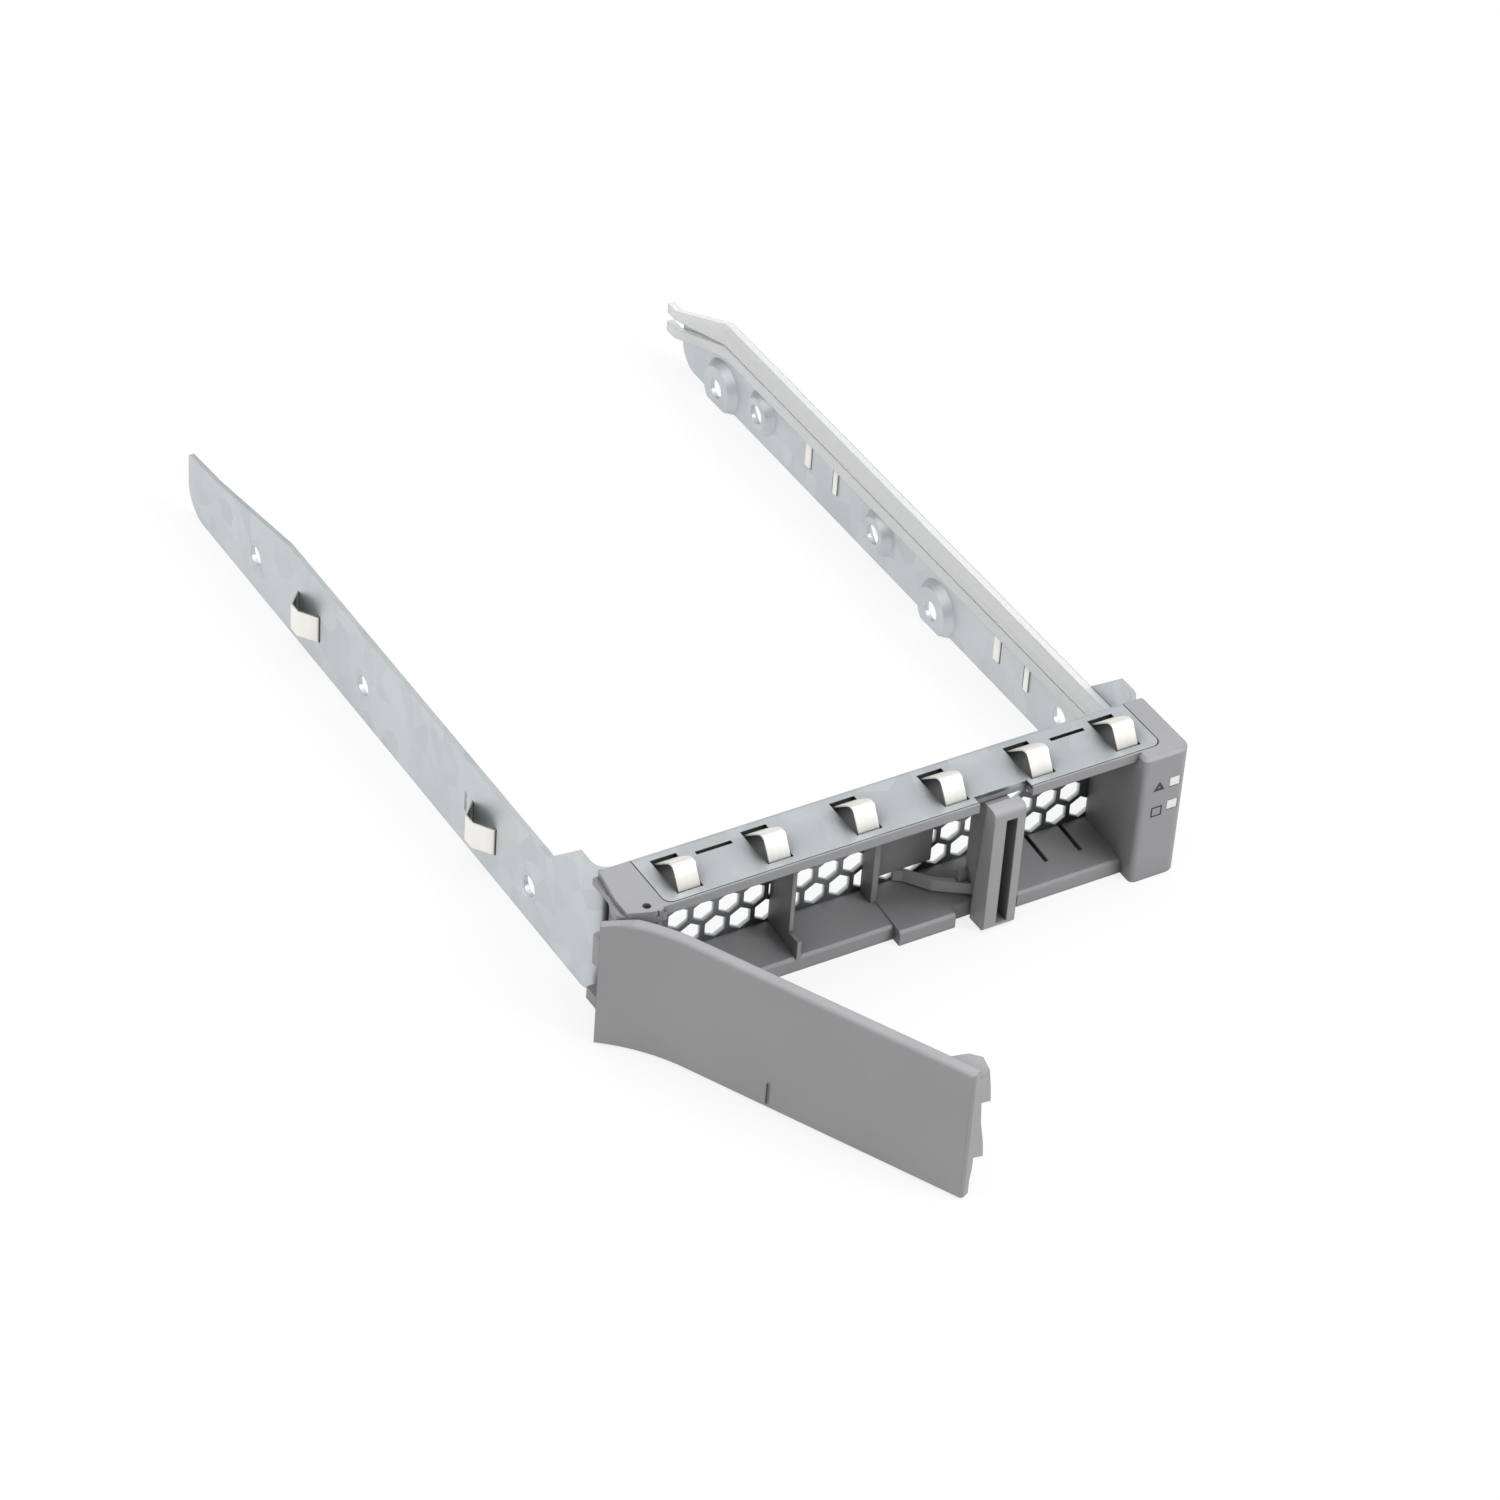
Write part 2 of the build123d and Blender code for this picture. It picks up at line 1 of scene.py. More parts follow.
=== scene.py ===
"""Looks of the hard drive caddy: finishes, small marks and wound wire round the fixed CAD model.

Lengths are in metres. X runs to the right along the bezel, Y runs back along the drive, Z runs up,
and the floor is at Z = 0.
"""
import json
import math

import bmesh
import bpy
from mathutils import Matrix, Vector


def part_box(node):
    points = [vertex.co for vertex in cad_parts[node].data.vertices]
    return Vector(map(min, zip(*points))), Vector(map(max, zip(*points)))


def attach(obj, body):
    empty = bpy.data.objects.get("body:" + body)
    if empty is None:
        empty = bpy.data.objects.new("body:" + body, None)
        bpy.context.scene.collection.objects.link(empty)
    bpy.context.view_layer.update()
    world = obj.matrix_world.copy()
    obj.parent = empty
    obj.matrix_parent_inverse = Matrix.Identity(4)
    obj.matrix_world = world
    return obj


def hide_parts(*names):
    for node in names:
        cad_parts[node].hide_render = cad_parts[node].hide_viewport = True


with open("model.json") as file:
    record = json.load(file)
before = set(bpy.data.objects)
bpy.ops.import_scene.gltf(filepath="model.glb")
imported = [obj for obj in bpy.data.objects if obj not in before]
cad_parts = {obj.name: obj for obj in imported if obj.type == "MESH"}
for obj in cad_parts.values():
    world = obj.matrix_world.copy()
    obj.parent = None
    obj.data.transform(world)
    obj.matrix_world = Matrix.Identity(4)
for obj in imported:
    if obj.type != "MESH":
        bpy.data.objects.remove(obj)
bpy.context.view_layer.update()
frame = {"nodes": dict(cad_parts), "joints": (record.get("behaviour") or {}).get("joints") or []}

# The steel cage: one sheet of galvanised steel, pierced and folded into two rails, the honeycomb
# wall and the top flange. Its zinc skin has a faint frosted crystal pattern, fine rolling lines
# along the sheet and soft handling marks. It snaps into the bezel, and two screws hold it there.
MM = 0.001
caddy = frame["nodes"]
zinc_dark, zinc_light = (0.56, 0.585, 0.60), (0.635, 0.66, 0.675)
# Painted shade: a thin dark line in the seams between parts, and a darkened honeycomb wall deep
# behind the bezel.
painted_seam_shade = {"reach": 0.5 * MM, "shut": 0.15, "free": 0.55, "darkest": 0.25}
painted_wall_shade = {"reach": 20 * MM, "shut": 0.42, "free": 0.97, "darkest": 0.05}
bezel_low, bezel_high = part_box("bezel")
wall_face = bezel_high[1]


def new_material(name):
    """A material, with its nodes, its links and its Principled shader."""
    made = bpy.data.materials.new(name)
    made.use_nodes = True
    nodes = made.node_tree.nodes
    return made, nodes, made.node_tree.links, nodes["Principled BSDF"]


def add(nodes, kind, settings=None, **properties):
    """One node, with its properties, and its inputs set by their names."""
    node = nodes.new(kind)
    for name, value in properties.items():
        setattr(node, name, value)
    for name, value in (settings or {}).items():
        node.inputs[name].default_value = value
    return node


def object_place(nodes, links, stretch=(1, 1, 1)):
    """Object coordinates, scaled along the axes."""
    place = add(nodes, "ShaderNodeTexCoord")
    scaled = add(nodes, "ShaderNodeMapping", {"Scale": stretch})
    links.new(place.outputs["Object"], scaled.inputs["Vector"])
    return scaled.outputs["Vector"]


def noise(nodes, links, scale, detail=2, stretch=(1, 1, 1)):
    """Soft random patches, so many to the metre, from 0 to 1."""
    patches = add(nodes, "ShaderNodeTexNoise", {"Scale": scale, "Detail": detail})
    links.new(object_place(nodes, links, stretch), patches.inputs["Vector"])
    return patches.outputs["Fac"]


def ramp(nodes, links, factor, dark, light, low=0.3, high=0.7):
    """A colour that runs from dark to light as the factor runs from low to high."""
    band = add(nodes, "ShaderNodeValToRGB")
    first, last = band.color_ramp.elements
    first.position, first.color = low, (*dark, 1)
    last.position, last.color = high, (*light, 1)
    links.new(factor, band.inputs["Fac"])
    return band.outputs["Color"]


def set_roughness(nodes, links, shader, factor, smooth, rough):
    """Roughness that runs from smooth to rough as the factor runs from 0 to 1."""
    band = add(nodes, "ShaderNodeMapRange", {"To Min": smooth, "To Max": rough})
    links.new(factor, band.inputs["Value"])
    links.new(band.outputs["Result"], shader.inputs["Roughness"])


def set_relief(nodes, links, shader, height, strength, depth, edge_radius):
    """Fine relief from a height, with the sharp edges rounded in shading so that they catch light."""
    relief = add(nodes, "ShaderNodeBump", {"Strength": strength, "Distance": depth})
    rounded = add(nodes, "ShaderNodeBevel", {"Radius": edge_radius}, samples=2)
    links.new(height, relief.inputs["Height"])
    links.new(rounded.outputs["Normal"], relief.inputs["Normal"])
    links.new(relief.outputs["Normal"], shader.inputs["Normal"])


def with_painted_shade(nodes, links, colour, reach, shut, free, darkest, alone=False):
    """Paints shade into the colour where surfaces stand within reach, such as a seam or a deep
    pocket.

    Openness runs from 0 to 1. At shut only the darkest share of the colour is left, and from free
    on all of it is. Alone counts the piece's own surfaces only.
    """
    shelter = add(nodes, "ShaderNodeAmbientOcclusion", {"Distance": reach},
                  samples=2, only_local=alone)
    tone = add(nodes, "ShaderNodeMapRange", {"From Min": shut, "From Max": free, "To Min": darkest})
    shaded = add(nodes, "ShaderNodeVectorMath", operation="SCALE")
    links.new(shelter.outputs["AO"], tone.inputs["Value"])
    links.new(colour, shaded.inputs[0])
    links.new(tone.outputs["Result"], shaded.inputs["Scale"])
    return shaded.outputs["Vector"]


def share_along_y(nodes, links, start, end, most=1.0):
    """A number that runs from 0 to most as Y runs from start to end."""
    place = add(nodes, "ShaderNodeSeparateXYZ")
    share = add(nodes, "ShaderNodeMapRange", {"From Min": start, "From Max": end, "To Max": most})
    links.new(object_place(nodes, links), place.inputs[0])
    links.new(place.outputs["Y"], share.inputs["Value"])
    return share.outputs["Result"]


def galvanised_steel():
    """Satin zinc on rolled sheet, with painted shade in the seams and on the honeycomb wall deep
    behind the bezel.
    """
    made, nodes, links, shader = new_material("galvanised_steel")
    crystals = add(nodes, "ShaderNodeTexVoronoi", {"Scale": 210})
    links.new(object_place(nodes, links), crystals.inputs["Vector"])
    handling = noise(nodes, links, 60, detail=5)
    rolling_lines = noise(nodes, links, 900, detail=3, stretch=(1, 0.04, 1))
    frost = add(nodes, "ShaderNodeMix", {"Factor": 0.45}, data_type="FLOAT")
    links.new(handling, frost.inputs[2])
    links.new(crystals.outputs["Color"], frost.inputs[3])
    zinc = ramp(nodes, links, frost.outputs[0], zinc_dark, zinc_light)
    # Painted shade: the zinc darkens in seams, and strongly on the honeycomb wall's front face inside
    # the bezel. The mask below is 0 on that face and 1 behind it.
    zinc = with_painted_shade(nodes, links, zinc, **painted_seam_shade)
    shaded_zinc = with_painted_shade(nodes, links, zinc, **painted_wall_shade)
    clear_of_wall_shade = share_along_y(nodes, links, wall_face + 0.2 * MM, wall_face + 0.6 * MM)
    either = add(nodes, "ShaderNodeMix", data_type="VECTOR")
    links.new(clear_of_wall_shade, either.inputs[0])
    links.new(shaded_zinc, either.inputs[4])
    links.new(zinc, either.inputs[5])
    links.new(either.outputs[1], shader.inputs["Base Color"])
    set_roughness(nodes, links, shader, handling, smooth=0.38, rough=0.50)
    set_relief(nodes, links, shader, rolling_lines, strength=0.12, depth=0.05 * MM,
               edge_radius=0.15 * MM)
    shader.inputs["Metallic"].default_value = 0.85
    return made


def dress(node, material):
    """Gives a CAD node its finish."""
    for slot in caddy[node].material_slots:
        slot.material = material


dress("drive_cage", galvanised_steel())

# The bezel: the caddy's front frame, moulded in one piece in grey plastic, with the fine grain of
# its spark-eroded mould on every face. The cage is screwed to its back, and it carries the hinge
# pin, the latch and the ends of the light guides.
bezel_dark, bezel_light = (0.330, 0.330, 0.340), (0.370, 0.370, 0.380)
bezel_shade_reach = 34 * MM


def grey_plastic(name, dark, light, pocket):
    """Moulded plastic with an even grain, and painted shade in seams and inside pockets about as deep
    as is given.
    """
    made, nodes, links, shader = new_material(name)
    grain = noise(nodes, links, 2600)
    cloud = noise(nodes, links, 45, detail=4)
    colour = ramp(nodes, links, cloud, dark, light)
    # Painted shade: a dark line in the seams, darkening deep inside the piece's own pockets, and
    # darkening near other parts.
    colour = with_painted_shade(nodes, links, colour, **painted_seam_shade)
    colour = with_painted_shade(nodes, links, colour, reach=pocket, shut=0.18, free=0.93, darkest=0.12,
                       alone=True)
    colour = with_painted_shade(nodes, links, colour, reach=0.4 * pocket, shut=0.1, free=0.48, darkest=0.35)
    links.new(colour, shader.inputs["Base Color"])
    set_roughness(nodes, links, shader, cloud, smooth=0.42, rough=0.54)
    set_relief(nodes, links, shader, grain, strength=0.25, depth=0.04 * MM, edge_radius=0.3 * MM)
    return made


dress("bezel", grey_plastic("bezel_moulding", bezel_dark, bezel_light, bezel_shade_reach))

# The two small marks on the indicator block, a triangle over a square, beside their windows. They
# are pad-printed outlines in thin dark ink on the bezel's front face.
mark_middle = bezel_high[0] - 6.0 * MM
mark_front = bezel_low[1] - 0.02 * MM
triangle_half, triangle_stroke = 1.15 * MM, 0.5 * MM
triangle_foot, triangle_top = 18.9 * MM, 20.8 * MM
square_half, square_stroke = 1.1 * MM, 0.3 * MM
square_foot, square_top = 13.4 * MM, 15.5 * MM


def dark_ink():
    """Thin matt ink, a little uneven where the pad lifted."""
    made, nodes, links, shader = new_material("mark_ink")
    full, thin = (0.07, 0.07, 0.085), (0.049, 0.049, 0.0595)
    speckle = noise(nodes, links, 3000)
    tone = ramp(nodes, links, speckle, thin, full, low=0.35, high=0.65)
    links.new(tone, shader.inputs["Base Color"])
    shader.inputs["Roughness"].default_value = 0.7
    return made


def flat_piece(name, points, faces, material):
    """A flat mark with no thickness."""
    mesh = bpy.data.meshes.new(name)
    mesh.from_pydata(points, [], faces)
    mesh.materials.append(material)
    piece = bpy.data.objects.new(name, mesh)
    bpy.context.collection.objects.link(piece)
    return piece


def printed_outline(name, corners, stroke):
    """The outline of a shape on the front face, from its corners in x and z, turning leftwards."""
    count = len(corners)
    inner = []
    for index in range(count):
        here = Vector(corners[index])
        before = (here - Vector(corners[index - 1])).normalized()
        after = (Vector(corners[(index + 1) % count]) - here).normalized()
        inward = (after - before).normalized()
        inner.append(here + inward * stroke / abs(inward.cross(after)))
    points = [(x, mark_front, z) for x, z in corners + inner]
    nexts = [(index + 1) % count for index in range(count)]
    rims = [(index, nexts[index], count + nexts[index], count + index) for index in range(count)]
    return flat_piece(name, points, rims, mark_ink)


mark_ink = dark_ink()
triangle = printed_outline("mark_triangle", [
    (mark_middle - triangle_half, triangle_foot),
    (mark_middle + triangle_half, triangle_foot),
    (mark_middle, triangle_top)], triangle_stroke)
square = printed_outline("mark_square", [
    (mark_middle - square_half, square_foot),
    (mark_middle + square_half, square_foot),
    (mark_middle + square_half, square_top),
    (mark_middle - square_half, square_top)], square_stroke)
for mark in (triangle, square):
    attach(mark, "caddy")

# The ejector lever and the latch: smaller mouldings of the same plastic, coloured a shade lighter as
# painted light, because the open lever's outer face turns away from the lamps. The lever turns on the
# steel pin at its left end, and has a short upright line scored into its outer face.
# Painted light: these colours are lighter than the bezel's though the plastic is the same, and the
# latch shares them.
lever_lit_dark, lever_lit_light = (0.350, 0.350, 0.359), (0.392, 0.392, 0.401)
lever_shade_reach = 4 * MM
hinge = next(joint for joint in frame["joints"] if joint["name"] == "lever_hinge")
pivot = Vector(hinge["pos_m"])
open_turn = Matrix.Rotation(-math.radians(hinge["range_deg"][1]), 4, "Z")
score_left, score_right = 26.54 * MM, 26.86 * MM
score_foot, score_top = 1.2 * MM, 5.5 * MM
score_face = -3.82 * MM


def on_open_lever(x, y, z):
    """A place given from the pivot on the closed lever, moved to where the open lever has it."""
    swung = open_turn @ Vector((x, y, 0))
    return (pivot.x + swung.x, pivot.y + swung.y, z)


lightened_lever_moulding = grey_plastic("lightened_lever_moulding", lever_lit_dark, lever_lit_light, lever_shade_reach)
dress("lever", lightened_lever_moulding)
dress("latch", lightened_lever_moulding)
lever_mark = flat_piece("lever_mark", [
    on_open_lever(score_left, score_face, score_foot),
    on_open_lever(score_right, score_face, score_foot),
    on_open_lever(score_right, score_face, score_top),
    on_open_lever(score_left, score_face, score_top)], [(0, 1, 2, 3)], mark_ink)
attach(lever_mark, "lever")

# The two light guides: clear acrylic moulded with faint flow lines, clipped along the right rail.
# They carry light from the back of the caddy to the frosted windows in the indicator block.
acrylic_dark, acrylic_light = (0.90, 0.91, 0.915), (0.995, 0.995, 0.995)
window_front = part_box("light_guide_upper")[0][1]


def clear_acrylic():
    """Clear plastic that passes some light, and is frosted white at the windows."""
    made, nodes, links, shader = new_material("clear_acrylic")
    flow_lines = noise(nodes, links, 420, detail=4, stretch=(1, 0.015, 1))
    clearness = share_along_y(nodes, links, window_front + 0.4 * MM, window_front + 1.2 * MM,
                              most=0.28)
    colour = ramp(nodes, links, flow_lines, acrylic_dark, acrylic_light)
    links.new(colour, shader.inputs["Base Color"])
    links.new(clearness, shader.inputs["Transmission Weight"])
    set_roughness(nodes, links, shader, flow_lines, smooth=0.14, rough=0.26)
    set_relief(nodes, links, shader, flow_lines, strength=0.5, depth=0.4 * MM, edge_radius=0.3 * MM)
    shader.inputs["IOR"].default_value = 1.5
    shader.inputs["Coat Weight"].default_value = 0.6
    return made


acrylic = clear_acrylic()
dress("light_guide_upper", acrylic)
dress("light_guide_lower", acrylic)

# The grounding clips and fingers: thin spring strip, bent and then plated with bright nickel that
# looks a little warm. Four clips hook into the rails, and six fingers stand in a row in the slots
# of the top flange.
nickel_dark, nickel_light = (0.93, 0.915, 0.87), (0.985, 0.975, 0.94)
strip = 0.25 * MM
corner_rounds = 3
crisp_edge = math.radians(35)
finger_nodes = ["emi_finger_%d" % number for number in range(1, 7)]
first_low, first_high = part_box(finger_nodes[0])
last_low, last_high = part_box(finger_nodes[-1])
first_middle = (first_low[0] + first_high[0]) / 2
last_middle = (last_low[0] + last_high[0]) / 2
finger_pitch = (last_middle - first_middle) / (len(finger_nodes) - 1)
finger_width = first_high[0] - first_low[0]
foot, back = first_low[1], first_high[1]
base, crest = first_low[2] + strip / 2, first_high[2] - strip / 2
finger_bends = [
    (foot, base),
    (foot + 0.8 * MM, base),
    (foot + 1.0 * MM, base + 1.0 * MM),
    (foot + 2.9 * MM, crest - 0.3 * MM),
    (foot + 3.3 * MM, crest),
    (foot + 4.2 * MM, crest),
    (foot + 5.0 * MM, crest - 0.4 * MM),
    (back - 1.5 * MM, base + 0.9 * MM),
    (back - 0.9 * MM, base + 0.08 * MM),
    (back, base + 0.08 * MM)]


def bright_nickel():
    """Nickel plate with faint lines along the strip, and painted shade where it folds over itself and
    stands near other parts.
    """
    made, nodes, links, shader = new_material("bright_nickel")
    lines = noise(nodes, links, 700, stretch=(1, 0.1, 0.1))
    colour = ramp(nodes, links, lines, nickel_dark, nickel_light)
    # Painted shade: the colour darkens where the strip folds close to itself or stands near the rails
    # and flange.
    colour = with_painted_shade(nodes, links, colour, reach=4 * MM, shut=0.25, free=0.85, darkest=0.12)
    links.new(colour, shader.inputs["Base Color"])
    set_roughness(nodes, links, shader, lines, smooth=0.34, rough=0.44)
    shader.inputs["Metallic"].default_value = 0.7
    return made


def tree_with(name, inputs):
    """A geometry tree with its named inputs, and its nodes, links, group input and group output."""
    tree = bpy.data.node_groups.new(name, "GeometryNodeTree")
    tree.interface.new_socket("Geometry", in_out="INPUT", socket_type="NodeSocketGeometry")
    tree.interface.new_socket("Geometry", in_out="OUTPUT", socket_type="NodeSocketGeometry")
    for label, kind in inputs.items():
        tree.interface.new_socket(label, in_out="INPUT", socket_type=kind)
    given = tree.nodes.new("NodeGroupInput")
    made = tree.nodes.new("NodeGroupOutput")
    return tree, tree.nodes, tree.links, given, made


def end_tree(nodes, links, shape, given, made):
    """Ends a tree with real geometry in the given material."""
    real = add(nodes, "GeometryNodeRealizeInstances")
    finish = add(nodes, "GeometryNodeSetMaterial")
    links.new(shape, real.inputs["Geometry"])
    links.new(real.outputs["Geometry"], finish.inputs["Geometry"])
    links.new(given.outputs["Material"], finish.inputs["Material"])
    links.new(finish.outputs["Geometry"], made.inputs["Geometry"])


def grown(tree, name, seed_mesh, values):
    """The plain piece that a tree makes from a seed mesh and the values of its named inputs."""
    seed = bpy.data.objects.new(name + "_seed", seed_mesh)
    bpy.context.collection.objects.link(seed)
    modifier = seed.modifiers.new("grow", "NODES")
    modifier.node_group = tree
    for socket in tree.interface.items_tree:
        if socket.in_out == "INPUT" and socket.name in values:
            modifier[socket.identifier] = values[socket.name]
    evaluated = seed.evaluated_get(bpy.context.evaluated_depsgraph_get())
    mesh = bpy.data.meshes.new_from_object(evaluated)
    bpy.data.objects.remove(seed)
    mesh.name = name
    piece = bpy.data.objects.new(name, mesh)
    bpy.context.collection.objects.link(piece)
    return piece


def rounded_bends(points, rounds):
    """Side view of a bent strip, with its corners cut again and again until they are round."""
    for turn in range(rounds):
        cut = [points[0]]
        for (y0, z0), (y1, z1) in zip(points, points[1:]):
            cut.append((0.75 * y0 + 0.25 * y1, 0.75 * z0 + 0.25 * z1))
            cut.append((0.25 * y0 + 0.75 * y1, 0.25 * z0 + 0.75 * z1))
        cut.append(points[-1])
        points = cut
    return points


def bent_strip(name, points, width, thickness):
    """One bent strip: the closed outline of its side view, drawn across to its width."""
    above, below = [], []
    for index, (y, z) in enumerate(points):
        y0, z0 = points[max(index - 1, 0)]
        y1, z1 = points[min(index + 1, len(points) - 1)]
        run = math.hypot(y1 - y0, z1 - z0)
        out = Vector((z0 - z1, y1 - y0)) * thickness / (2 * run)
        above.append((y + out.x, z + out.y))
        below.append((y - out.x, z - out.y))
    outline = above + below[::-1]
    count = len(outline)
    places = [(x, y, z) for x in (-width / 2, width / 2) for y, z in outline]
    faces = [(i, (i + 1) % count, count + (i + 1) % count, count + i) for i in range(count)]
    left_side = [(i, count - 1 - i, count - 2 - i, i + 1) for i in range(len(points) - 1)]
    right_side = [tuple(count + corner for corner in reversed(face)) for face in left_side]
    mesh = bpy.data.meshes.new(name)
    mesh.from_pydata(places, [], faces + left_side + right_side)
    solid = bmesh.new()
    solid.from_mesh(mesh)
    bmesh.ops.recalc_face_normals(solid, faces=solid.faces)
    solid.to_mesh(mesh)
    solid.free()
    return mesh


def finger_row():
    """Repeats one finger in a row along the flange."""
    tree, nodes, links, given, made = tree_with("finger_row", {
        "Count": "NodeSocketInt", "Pitch": "NodeSocketFloat", "First": "NodeSocketFloat",
        "Material": "NodeSocketMaterial"})
    step = add(nodes, "ShaderNodeCombineXYZ")
    start = add(nodes, "ShaderNodeCombineXYZ")
    line = add(nodes, "GeometryNodeMeshLine")
    copies = add(nodes, "GeometryNodeInstanceOnPoints")
    links.new(given.outputs["Pitch"], step.inputs["X"])
    links.new(given.outputs["First"], start.inputs["X"])
    links.new(given.outputs["Count"], line.inputs["Count"])
    links.new(start.outputs[0], line.inputs["Start Location"])
    links.new(step.outputs[0], line.inputs["Offset"])
    links.new(line.outputs["Mesh"], copies.inputs["Points"])
    links.new(given.outputs["Geometry"], copies.inputs["Instance"])
    end_tree(nodes, links, copies.outputs["Instances"], given, made)
    return tree


nickel = bright_nickel()
for node in caddy:
    if node.endswith("_clip"):
        dress(node, nickel)
one_finger = bent_strip("finger", rounded_bends(finger_bends, corner_rounds), finger_width, strip)
fingers = grown(finger_row(), "grounding_fingers", one_finger, {
    "Count": len(finger_nodes), "Pitch": finger_pitch, "First": first_middle, "Material": nickel})
for face in fingers.data.polygons:
    face.use_smooth = True
fingers.data.set_sharp_from_angle(angle=crisp_edge)
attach(fingers, "caddy")
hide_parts(*finger_nodes)

# The hinge pin and the two small screws: plain turned steel. The pin stands in the bezel's left
# end, and the screws go through the cage's front wall into the bezel.
turned_dark, turned_light = (0.42, 0.42, 0.43), (0.56, 0.56, 0.57)


def turned_steel():
    """Darker steel with fine rings from turning."""
    made, nodes, links, shader = new_material("turned_steel")
    rings = noise(nodes, links, 1500, stretch=(0.1, 0.1, 1))
    links.new(ramp(nodes, links, rings, turned_dark, turned_light), shader.inputs["Base Color"])
    set_roughness(nodes, links, shader, rings, smooth=0.25, rough=0.4)
    shader.inputs["Metallic"].default_value = 1.0
    return made


pin_steel = turned_steel()
for node in ("hinge_pin", "bezel_screw_left", "bezel_screw_right"):
    dress(node, pin_steel)

# The torsion spring: round steel wire wound close on a mandrel and slipped over the hinge pin. One
# leg lies against the back of the hinge pocket, and the other pushes behind the lever.
spring_low, spring_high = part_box("lever_spring")
wire_radius = 0.24 * MM
coil_radius = 1.5 * MM
coil_turns = 9.0
coil_low = spring_low[2] + wire_radius
coil_high = spring_high[2] - wire_radius
lever_leg_reach = -3.2 * MM


def wound_spring():
    """A wire that follows a helix round the pin and the two straight legs."""
    tree, nodes, links, given, made = tree_with("wound_spring", {
        "Coil Radius": "NodeSocketFloat", "Wire Radius": "NodeSocketFloat",
        "Turns": "NodeSocketFloat", "Height": "NodeSocketFloat",
        "Place": "NodeSocketVector", "Material": "NodeSocketMaterial"})
    helix = add(nodes, "GeometryNodeCurveSpiral", {"Resolution": 24})
    moved = add(nodes, "GeometryNodeTransform")
    legs = add(nodes, "GeometryNodeMeshToCurve")
    path = add(nodes, "GeometryNodeJoinGeometry")
    ring = add(nodes, "GeometryNodeCurvePrimitiveCircle", {"Resolution": 12})
    wire = add(nodes, "GeometryNodeCurveToMesh", {"Fill Caps": True})
    smooth = add(nodes, "GeometryNodeSetShadeSmooth")
    links.new(given.outputs["Turns"], helix.inputs["Rotations"])
    links.new(given.outputs["Coil Radius"], helix.inputs["Start Radius"])
    links.new(given.outputs["Coil Radius"], helix.inputs["End Radius"])
    links.new(given.outputs["Height"], helix.inputs["Height"])
    links.new(helix.outputs["Curve"], moved.inputs["Geometry"])
    links.new(given.outputs["Place"], moved.inputs["Translation"])
    links.new(given.outputs["Geometry"], legs.inputs["Mesh"])
    links.new(moved.outputs["Geometry"], path.inputs["Geometry"])
    links.new(legs.outputs["Curve"], path.inputs["Geometry"])
    links.new(given.outputs["Wire Radius"], ring.inputs["Radius"])
    links.new(path.outputs["Geometry"], wire.inputs["Curve"])
    links.new(ring.outputs["Curve"], wire.inputs["Profile Curve"])
    links.new(wire.outputs["Mesh"], smooth.inputs["Geometry"])
    end_tree(nodes, links, smooth.outputs["Geometry"], given, made)
    return tree


spring_legs = bpy.data.meshes.new("spring_legs")
spring_legs.from_pydata([
    (pivot.x + coil_radius, pivot.y, coil_low),
    (pivot.x + coil_radius, spring_high[1], coil_low),
    on_open_lever(-coil_radius, 0, coil_high),
    on_open_lever(-coil_radius, lever_leg_reach, coil_high)], [(0, 1), (2, 3)], [])
spring = grown(wound_spring(), "torsion_spring", spring_legs, {
    "Coil Radius": coil_radius, "Wire Radius": wire_radius, "Turns": coil_turns,
    "Height": coil_high - coil_low, "Place": (pivot.x, pivot.y, coil_low), "Material": pin_steel})
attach(spring, "caddy")
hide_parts("lever_spring")

# The studio: a wide pale floor, three soft boxes and an even white room. The floor and the room
# are white to the camera and in reflections, and the lamps keep the caddy at a plain level.
floor_half = 3.0
floor_tone, bounce_tone = (0.93, 0.93, 0.93, 1), (0.38, 0.38, 0.38, 1)
white_share = 0.78


def either_ray(nodes, links, first, second):
    """1 where either of two ray tests is 1."""
    most = add(nodes, "ShaderNodeMath", operation="MAXIMUM")
    links.new(first, most.inputs[0])
    links.new(second, most.inputs[1])
    return most.outputs[0]


def pale_floor():
    """Floor paint that looks white, keeps the caddy's shadow and sends little light back up."""
    made, nodes, links, shader = new_material("pale_floor")
    shader.inputs["Base Color"].default_value = floor_tone
    shader.inputs["Roughness"].default_value = 0.9
    bounce = add(nodes, "ShaderNodeBsdfDiffuse", {"Color": bounce_tone})
    glow = add(nodes, "ShaderNodeEmission", {"Strength": 1.0})
    white = add(nodes, "ShaderNodeMixShader", {"Fac": white_share})
    either = add(nodes, "ShaderNodeMixShader")
    rays = add(nodes, "ShaderNodeLightPath").outputs
    mirrored = either_ray(nodes, links, rays["Is Glossy Ray"], rays["Is Transmission Ray"])
    seen = either_ray(nodes, links, rays["Is Camera Ray"], mirrored)
    links.new(shader.outputs["BSDF"], white.inputs[1])
    links.new(glow.outputs["Emission"], white.inputs[2])
    links.new(seen, either.inputs["Fac"])
    links.new(bounce.outputs["BSDF"], either.inputs[1])
    links.new(white.outputs["Shader"], either.inputs[2])
    links.new(either.outputs["Shader"], nodes["Material Output"].inputs["Surface"])
    return made


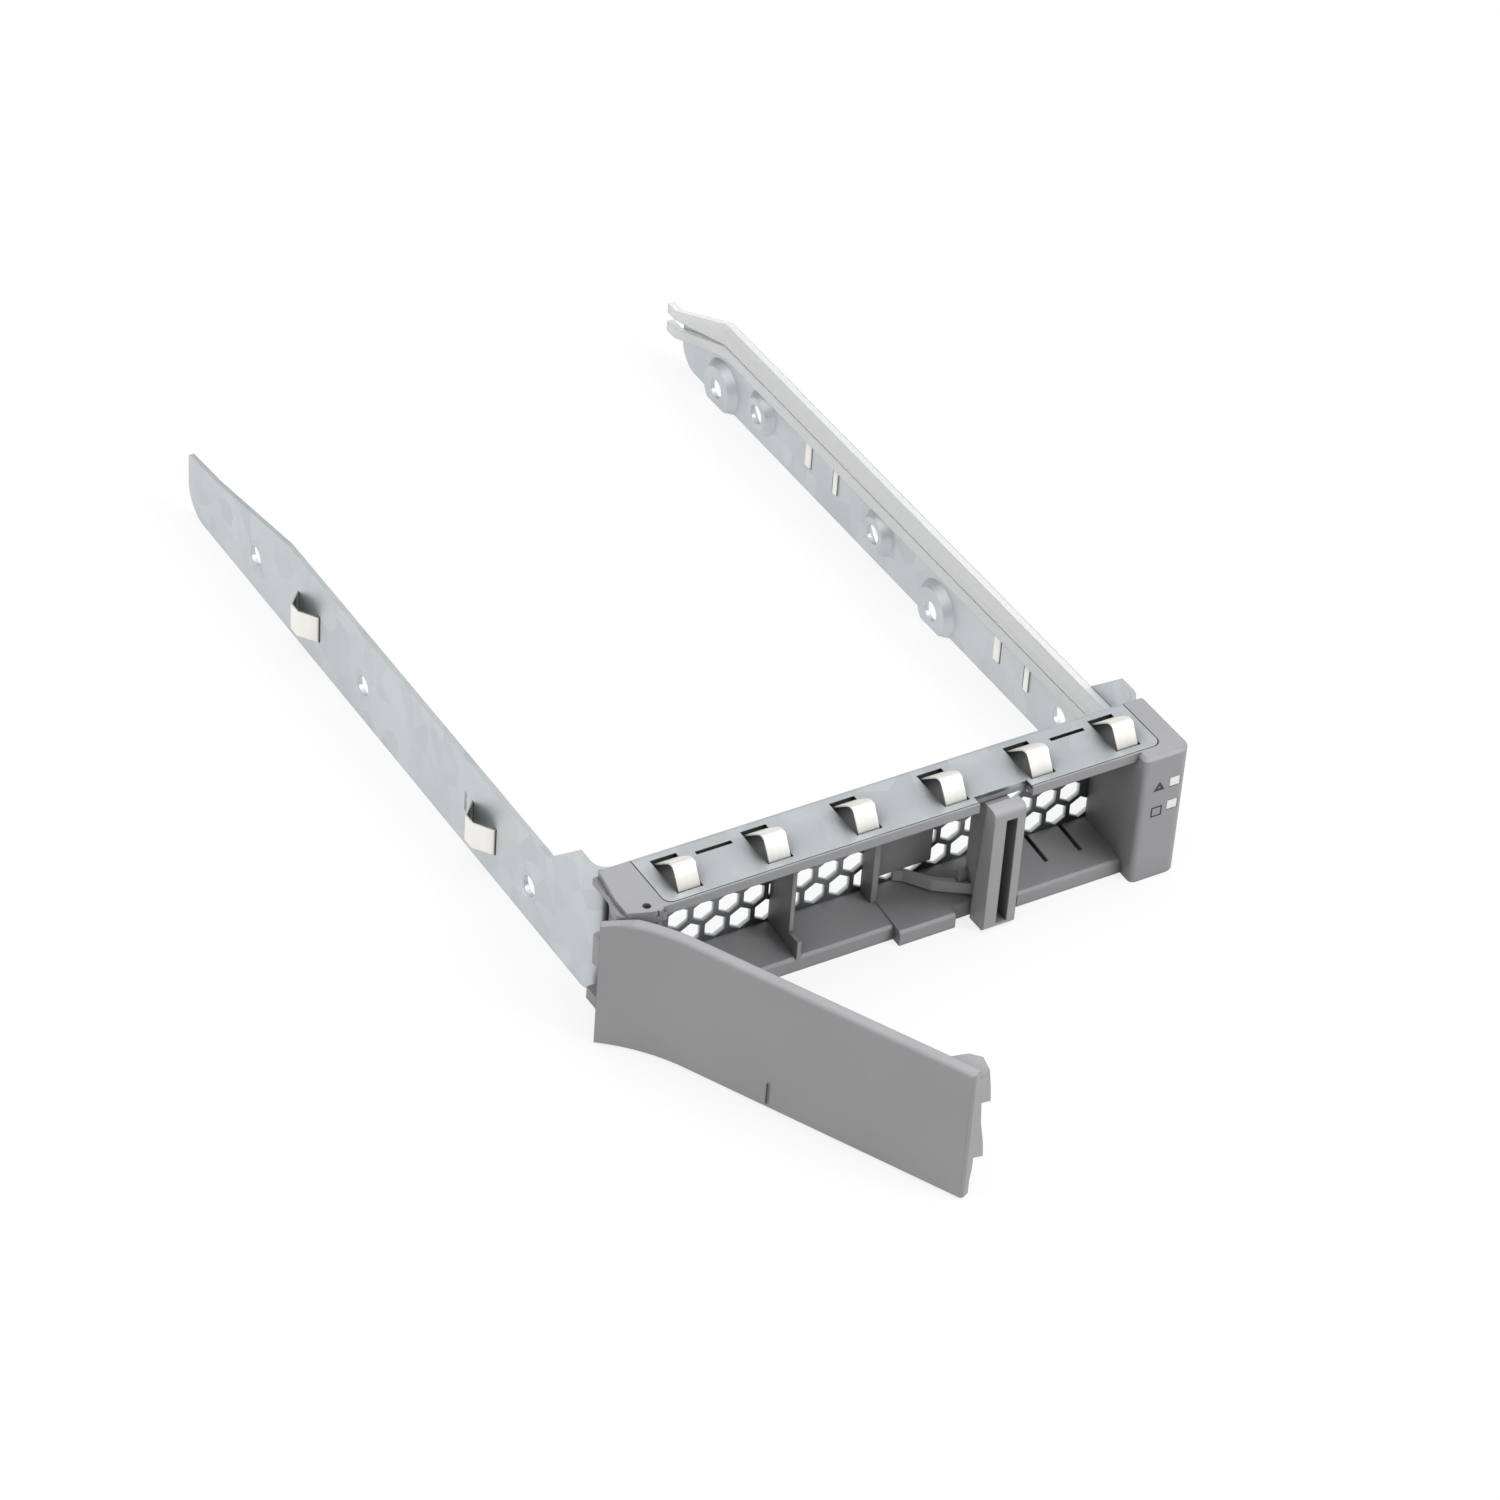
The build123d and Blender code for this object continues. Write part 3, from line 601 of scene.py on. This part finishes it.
def white_room():
    """Surroundings that are bright overhead and dimmer low down, and white to the camera."""
    room = bpy.data.worlds.new("studio")
    room.use_nodes = True
    bpy.context.scene.world = room
    nodes, links = room.node_tree.nodes, room.node_tree.links
    surround = nodes["Background"]
    surround.inputs["Color"].default_value = (1, 1, 1, 1)
    direction = add(nodes, "ShaderNodeTexCoord")
    parts = add(nodes, "ShaderNodeSeparateXYZ")
    by_height = add(nodes, "ShaderNodeMapRange", {
        "From Min": 0.05, "From Max": 0.9, "To Min": 0.5, "To Max": 0.74})
    level = add(nodes, "ShaderNodeMix", data_type="FLOAT")
    rays = add(nodes, "ShaderNodeLightPath").outputs
    seen = either_ray(nodes, links, rays["Is Camera Ray"], rays["Is Transmission Ray"])
    links.new(direction.outputs["Generated"], parts.inputs[0])
    links.new(parts.outputs["Z"], by_height.inputs["Value"])
    links.new(seen, level.inputs[0])
    links.new(by_height.outputs["Result"], level.inputs[2])
    level.inputs[3].default_value = 1.0
    links.new(level.outputs[0], surround.inputs["Strength"])


def soft_box(name, place, width, watts):
    """A square lamp that points at the middle of the floor."""
    light = bpy.data.lights.new(name, "AREA")
    light.size = width
    light.energy = watts
    holder = bpy.data.objects.new(name, light)
    holder.location = place
    holder.rotation_euler = (-Vector(place)).to_track_quat("-Z", "Y").to_euler()
    bpy.context.collection.objects.link(holder)


def place_camera():
    """The photograph's view: a long lens from the front left and above."""
    eye = Vector((-0.40443, -0.63242, 0.59057))
    right = Vector((0.86290, -0.50176, 0.06037))
    down = Vector((-0.26961, -0.55808, -0.78477))
    look = right.cross(down)
    focal_pixels = 5553.25
    frame_pixels = 1500
    camera = bpy.data.cameras.new("camera")
    camera.sensor_width = 36
    camera.lens = camera.sensor_width * focal_pixels / frame_pixels
    camera.clip_start = 0.01
    holder = bpy.data.objects.new("camera", camera)
    turn = Matrix((right, -down, -look)).transposed().to_4x4()
    holder.matrix_world = Matrix.Translation(eye) @ turn
    bpy.context.collection.objects.link(holder)
    bpy.context.scene.camera = holder


floor = flat_piece("floor", [
    (-floor_half, -floor_half, 0),
    (floor_half, -floor_half, 0),
    (floor_half, floor_half, 0),
    (-floor_half, floor_half, 0)], [(0, 1, 2, 3)], pale_floor())
white_room()
soft_box("overhead", (0.0, 0.0, 1.2), width=1.5, watts=6.0)
soft_box("left", (-1.0, 0.1, 0.45), width=0.8, watts=2.4)
soft_box("front_right", (0.50, -0.73, 0.80), width=0.5, watts=5)
place_camera()
bpy.context.scene.view_settings.view_transform = "Standard"
